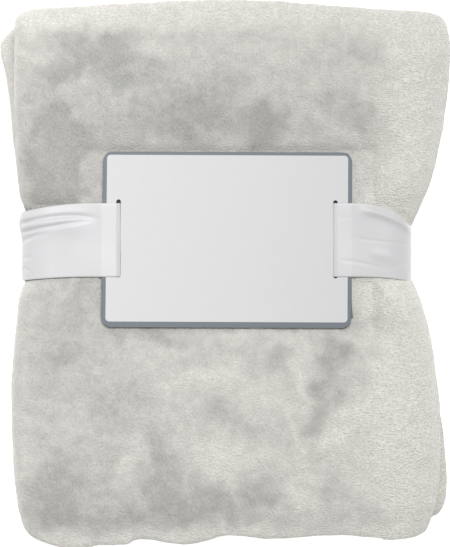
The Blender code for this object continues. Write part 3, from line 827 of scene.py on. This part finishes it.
lap_low, lap_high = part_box("ribbon_lap")
LAP_Z = (lap_low[2] + lap_high[2]) / 2
lap_path = np.array(straight((lap_low[0], LAP_Z), (lap_high[0], LAP_Z), 1 * MM))
lap_middle = np.full(len(lap_path), BELOW_Y)
lap = ribbon_piece("ribbon_overlap", lap_path, lap_middle - RIBBON_WIDTH / 2,
                   lap_middle + RIBBON_WIDTH / 2, across=31)
lap.data.materials.append(satin)
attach(lap, "band")
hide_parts("ribbon_lap")

# Spun polyester thread: matt, with the slanted turns of its two plies.
thread, tree, surface, place = new_material("white_spun_thread")
surface.inputs["Base Color"].default_value = linear("#d2d1cc")
surface.inputs["Roughness"].default_value = 0.7
surface.inputs["Sheen Weight"].default_value = 0.3
PLY_TURN = 0.5 * MM
plies = add_node(tree, "TexWave", {"Vector": place, "Scale": 0.314 / PLY_TURN, "Distortion": 0.5},
                 bands_direction="DIAGONAL")
ply_bump = add_node(tree, "Bump", {"Height": plies.outputs["Fac"], "Strength": 0.4,
                                   "Distance": 0.1 * MM})
tree.links.new(ply_bump.outputs[0], surface.inputs["Normal"])


def stitches(name, starts, ends, rise, radius):
    """A row of stitches in one mesh: each is a thread that rises out of the cloth and dives back."""
    along, round_count = 7, 6
    points, faces = [], []
    for start, end in zip(starts, ends):
        start, end = np.array(start), np.array(end)
        ahead = (end - start) / np.linalg.norm(end - start)
        up = np.array(rise, float)
        side = np.cross(ahead, up / np.linalg.norm(up))
        first = len(points)
        for i in range(along):
            share = i / (along - 1)
            middle = start + (end - start) * share + up * math.sin(math.pi * share)
            thick = radius * (0.35 + 0.65 * math.sin(math.pi * share) ** 0.5)
            for k in range(round_count):
                angle = 2 * math.pi * k / round_count
                out = side * math.cos(angle) + up / np.linalg.norm(up) * math.sin(angle)
                points.append(tuple(middle + out * thick))
        for i in range(along - 1):
            for k in range(round_count):
                a = first + i * round_count + k
                b = first + i * round_count + (k + 1) % round_count
                faces.append((a, a + round_count, b + round_count, b))
        faces.append([first + k for k in range(round_count)])
        last = first + (along - 1) * round_count
        faces.append([last + k for k in reversed(range(round_count))])
    mesh = bpy.data.meshes.new(name)
    mesh.from_pydata(points, [], faces)
    mesh.shade_smooth()
    made = bpy.data.objects.new(name, mesh)
    bpy.context.scene.collection.objects.link(made)
    made.data.materials.append(thread)
    return made


seam_low, seam_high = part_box("ribbon_seam")
SEAM_PITCH = 2.6 * MM
seam_y = np.arange(seam_low[1] - 2 * MM, seam_high[1] - 4 * MM, SEAM_PITCH)
seam_face = lap_low[2] - 0.02 * MM
left_holes = [(seam_low[0], y, seam_face) for y in seam_y]
right_holes = [(seam_high[0], y + SEAM_PITCH / 2, seam_face) for y in seam_y]
next_left_holes = [(seam_low[0], y + SEAM_PITCH, seam_face) for y in seam_y]
seam = stitches("ribbon_stitches", left_holes + right_holes, right_holes + next_left_holes,
                (0, 0, -0.12 * MM), 0.16 * MM)
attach(seam, "band")
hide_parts("ribbon_seam")

# ------------------------------------------------------------------------- the care label
# A blank tab of folded white satin tape. Its ends are caught in the hem of the base third, and
# it stands out on the right side.

label_low, label_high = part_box("care_label")
label_mid = (label_low[2] + label_high[2]) / 2
label_share = np.linspace(0, 1, 15)
LABEL_IN_HEM = 6 * MM
LABEL_DROOP = 2.2 * MM
label_length = label_high[0] + 5 * MM - label_low[0]
label_path = np.stack([label_low[0] - LABEL_IN_HEM + label_length * label_share,
                       label_mid - LABEL_DROOP * label_share**2], -1)
label = ribbon_piece("care_tab", label_path, np.full(len(label_path), label_low[1]),
                     np.full(len(label_path), label_high[1]), across=21)
label.data.materials.append(satin)
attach(label, "throw")
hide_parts("care_label")

# ------------------------------------------------------------------------------- the card
# A die-cut card of 350 g white board, 148 x 104 mm, printed with a plain grey border and
# punched with two slots for the ribbon. A plain card of the same cut backs it. The back of
# the front card and the face of the backing card are coloured dark, as painted shade in the slots.

SIDE_BORDER = 2.5 * MM
TOP_BORDER = 2.0 * MM
FOOT_BORDER = 3.3 * MM
CARD_CORNER = 6 * MM
PANEL_CORNER = 2.2 * MM
GRID = 9 * MM
SLOT_WIDTH = 2.7 * MM
SLOT_LENGTH = 46.2 * MM
SLOT_RISE = 0.5 * MM
CARD_TURN = math.radians(-0.25)
OUT_OF_SQUARE = 0.5 * MM


def rounded_outline(half_x, half_y, radius, corner_points):
    outline = []
    for corner, (sx, sy) in enumerate(((1, 1), (-1, 1), (-1, -1), (1, -1))):
        for i in range(corner_points):
            angle = (corner + i / (corner_points - 1)) * math.pi / 2
            outline.append((sx * (half_x - radius) + radius * math.cos(angle),
                            sy * (half_y - radius) + radius * math.sin(angle)))
    return outline


def ring(bm, outline):
    corners = [bm.verts.new((x, y, 0)) for x, y in outline]
    return corners, [bm.edges.new((a, b)) for a, b in zip(corners, corners[1:] + corners[:1])]


def card_mesh(name, thick, slots, bordered):
    """A flat card with round corners, cut into a grid. Faces of the border use slot 1, and the
    back of a bordered card slot 2, which holds the painted shade for the slots."""
    bm = bmesh.new()
    outer, outer_edges = ring(bm, rounded_outline(CARD_LENGTH / 2, CARD_WIDTH / 2, CARD_CORNER, 9))
    fill = list(outer_edges)
    if bordered:
        high = CARD_WIDTH / 2 - (TOP_BORDER + FOOT_BORDER) / 2
        inside = rounded_outline(CARD_LENGTH / 2 - SIDE_BORDER, high, PANEL_CORNER, 9)
        inner, fill = ring(bm, [(x, y + (FOOT_BORDER - TOP_BORDER) / 2) for x, y in inside])
        for k in range(len(outer)):
            j = (k + 1) % len(outer)
            bm.faces.new((outer[k], outer[j], inner[j], inner[k])).material_index = 1
    for shift in slots:
        slot = rounded_outline(SLOT_WIDTH / 2, SLOT_LENGTH / 2, SLOT_WIDTH / 2.001, 7)
        fill += ring(bm, [(x + shift + y * CARD_TURN, y + SLOT_RISE) for x, y in slot])[1]
    bmesh.ops.triangle_fill(bm, use_beauty=True, use_dissolve=False, edges=fill, normal=(0, 0, 1))
    for axis, half in (((1, 0, 0), CARD_LENGTH / 2), ((0, 1, 0), CARD_WIDTH / 2)):
        for place_at in np.arange(-half + GRID, half - 4 * MM, GRID):
            everything = bm.verts[:] + bm.edges[:] + bm.faces[:]
            spot = tuple(a * place_at for a in axis)
            bmesh.ops.bisect_plane(bm, geom=everything, plane_co=spot, plane_no=axis, dist=1e-6)
    bmesh.ops.recalc_face_normals(bm, faces=bm.faces)
    if bm.faces[0].normal.z < 0:
        bmesh.ops.reverse_faces(bm, faces=bm.faces)
    lid = bm.faces[:]
    made = bmesh.ops.extrude_face_region(bm, geom=lid)
    raised = [item for item in made["geom"] if isinstance(item, bmesh.types.BMVert)]
    bmesh.ops.translate(bm, verts=raised, vec=(0, 0, thick))
    bmesh.ops.recalc_face_normals(bm, faces=bm.faces)
    for face in bm.faces:
        if abs(face.normal.z) < 0.5:
            face.material_index = 0
        elif face.normal.z < 0 and bordered:
            face.material_index = 2
    mesh = bpy.data.meshes.new(name)
    bm.to_mesh(mesh)
    bm.free()
    made = bpy.data.objects.new(name, mesh)
    bpy.context.scene.collection.objects.link(made)
    return made


def lay_card(piece, middle_x, low):
    """Turns a card to its place. Its left end is cut out of square, by half a millimetre at each
    corner."""
    for vertex in piece.data.vertices:
        x, y, z = vertex.co
        share = x / (CARD_LENGTH / 2)
        x += OUT_OF_SQUARE * max(0.0, -share - 0.9) * 10 * y / (CARD_WIDTH / 2)
        vertex.co = (middle_x + x * math.cos(CARD_TURN) - y * math.sin(CARD_TURN),
                     WAIST_Y + x * math.sin(CARD_TURN) + y * math.cos(CARD_TURN), low + z)


# Uncoated board: matt and white, with a faint cloudy tooth.
board, tree, surface, place = new_material("white_board")
surface.inputs["Roughness"].default_value = 0.6
surface.inputs["Specular IOR Level"].default_value = 0.35
formation = add_node(tree, "TexNoise", {"Vector": place, "Scale": 1 / (6 * MM), "Detail": 3.0})
cloud = add_node(tree, "MixRGB", {"Fac": formation.outputs["Fac"], "Color1": linear("#d6d6d7"),
                                  "Color2": linear("#d9d9da")})
tree.links.new(cloud.outputs[0], surface.inputs["Base Color"])
tooth = add_node(tree, "TexNoise", {"Vector": place, "Scale": 1 / (0.35 * MM), "Detail": 2.0})
tooth_bump = add_node(tree, "Bump", {"Height": tooth.outputs["Fac"], "Strength": 0.08,
                                     "Distance": 0.05 * MM})
tree.links.new(tooth_bump.outputs[0], surface.inputs["Normal"])

# Grey printing ink on the board: a little smoother than the bare board and slightly mottled.
ink, tree, surface, place = new_material("grey_printed_ink")
surface.inputs["Roughness"].default_value = 0.5
mottle = add_node(tree, "TexNoise", {"Vector": place, "Scale": 1 / (1.5 * MM), "Detail": 2.0})
ink_tone = add_node(tree, "MixRGB", {"Fac": mottle.outputs["Fac"], "Color1": linear("#6d747b"),
                                     "Color2": linear("#767d83")})
tree.links.new(ink_tone.outputs[0], surface.inputs["Base Color"])

# Painted shade for the slots: the back of the front card and the face of the backing card are
# coloured dark brown, so that the open ends of the slots show as dark slivers.
painted_slot_shade, tree, surface, place = new_material("painted_slot_shade_brown")
surface.inputs["Roughness"].default_value = 0.6
dark_mottle = add_node(tree, "TexNoise", {"Vector": place, "Scale": 1 / (2 * MM), "Detail": 2.0})
dark_tone = add_node(tree, "MixRGB", {"Fac": dark_mottle.outputs["Fac"], "Color1": linear("#3a302a"),
                                      "Color2": linear("#443a32")})
tree.links.new(dark_tone.outputs[0], surface.inputs["Base Color"])

CARD_THICK = 0.5 * MM
card = card_mesh("front_card", CARD_THICK, (-SLOT_REACH, SLOT_REACH), True)
lay_card(card, CARD_X, CARD_LOW[2])
for finish in (board, ink, painted_slot_shade):
    card.data.materials.append(finish)
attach(card, "card")
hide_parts("message_card")

BACKING_THICK = 0.4 * MM
BARE_MARGIN = 3 * MM
backing_low, backing_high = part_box("backing_card")
backing_x = (backing_low[0] + backing_high[0]) / 2
backing = card_mesh("back_card", BACKING_THICK, (), False)
lay_card(backing, backing_x, backing_low[2])
backing.data.materials.append(board)
backing.data.materials.append(painted_slot_shade)
# Painted shade: the backing card's face is coloured dark, all but a bare margin at each end.
for face in backing.data.polygons:
    from_end = CARD_LENGTH / 2 - abs(face.center[0] - backing_x)
    if face.normal.z > 0.5 and from_end > BARE_MARGIN:
        face.material_index = 1
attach(backing, "card")
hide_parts("backing_card")

# ------------------------------------------------------------------- floor, light, camera
# A plain white surface that glows a little, as a light table does, even light from all round,
# one broad softbox above the +Y end, and a camera that looks straight down.

FLOOR = 3.0
floor_corners = [(-FLOOR, -FLOOR, 0), (FLOOR, -FLOOR, 0), (FLOOR, FLOOR, 0), (-FLOOR, FLOOR, 0)]
floor_mesh = bpy.data.meshes.new("floor")
floor_mesh.from_pydata(floor_corners, [], [(0, 1, 2, 3)])
floor = bpy.data.objects.new("floor", floor_mesh)
bpy.context.scene.collection.objects.link(floor)
floor_finish, tree, surface, place = new_material("white_light_table")
surface.inputs["Base Color"].default_value = linear("#e7e7e7")
surface.inputs["Roughness"].default_value = 0.8
surface.inputs["Emission Color"].default_value = linear("#ffffff")
surface.inputs["Emission Strength"].default_value = 0.72
floor.data.materials.append(floor_finish)

SOFTBOX_PLACE = (0.0, 0.7, 1.65)
SOFTBOX_AIM = (-0.5, -0.12, 0)
softbox = bpy.data.lights.new("overhead_softbox", "AREA")
softbox.shape = "SQUARE"
softbox.size = 0.8
softbox.energy = 4.72
softbox.spread = math.radians(66)
across, along, down = np.array(SOFTBOX_AIM) - np.array(SOFTBOX_PLACE)
tilt, turn = math.atan2(math.hypot(across, along), -down), math.atan2(along, across)
softbox_stand = bpy.data.objects.new("overhead_softbox", softbox)
softbox_stand.location = SOFTBOX_PLACE
softbox_stand.rotation_euler = (tilt, 0, turn - math.pi / 2)
bpy.context.scene.collection.objects.link(softbox_stand)

world = bpy.data.worlds.new("studio")
world.use_nodes = True
background = world.node_tree.nodes["Background"]
background.inputs["Color"].default_value = linear("#ffffff")
background.inputs["Strength"].default_value = 0.448
bpy.context.scene.world = world
bpy.context.scene.view_settings.view_transform = "Standard"

VIEW_HEIGHT = 323.7 * MM
SENSOR = 36.0
LENS = 150.0
camera_data = bpy.data.cameras.new("camera")
camera_data.lens = LENS
camera_data.sensor_width = SENSOR
camera = bpy.data.objects.new("camera", camera_data)
camera.location = (0, 0, OVER_CARD + VIEW_HEIGHT * LENS / SENSOR)
bpy.context.scene.collection.objects.link(camera)
bpy.context.scene.camera = camera
